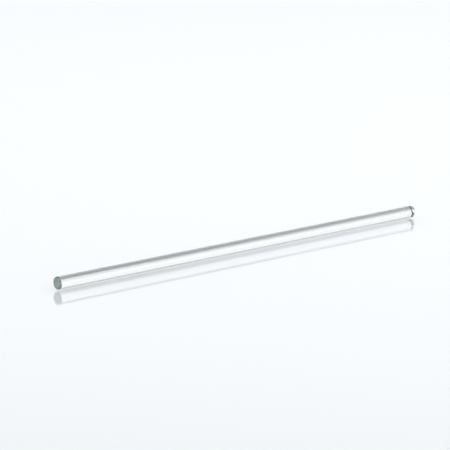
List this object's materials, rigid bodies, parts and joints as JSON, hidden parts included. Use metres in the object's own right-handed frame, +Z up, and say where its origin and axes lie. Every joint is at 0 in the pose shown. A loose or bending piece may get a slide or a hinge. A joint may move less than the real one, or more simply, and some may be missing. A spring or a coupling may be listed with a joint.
{
  "type": "glass stirring rod",
  "caption": "Long, slender rod of solid clear glass for stirring, with one end nearly flat and the other slightly domed, both fire-polished.",
  "frame": {"origin": "on the rod's axis, halfway along its length", "axes": "+X along the rod towards its rounder end, +Z up, the rod lying level"},
  "size_m": [0.2, 0.005, 0.005],
  "materials": {
    "clear_glass": "clear drawn glass with a fire-polished surface, faintly grey-green when seen along its length"
  },
  "bodies": {
    "root": {"stirring_rod": "clear_glass"}
  },
  "joints": []
}
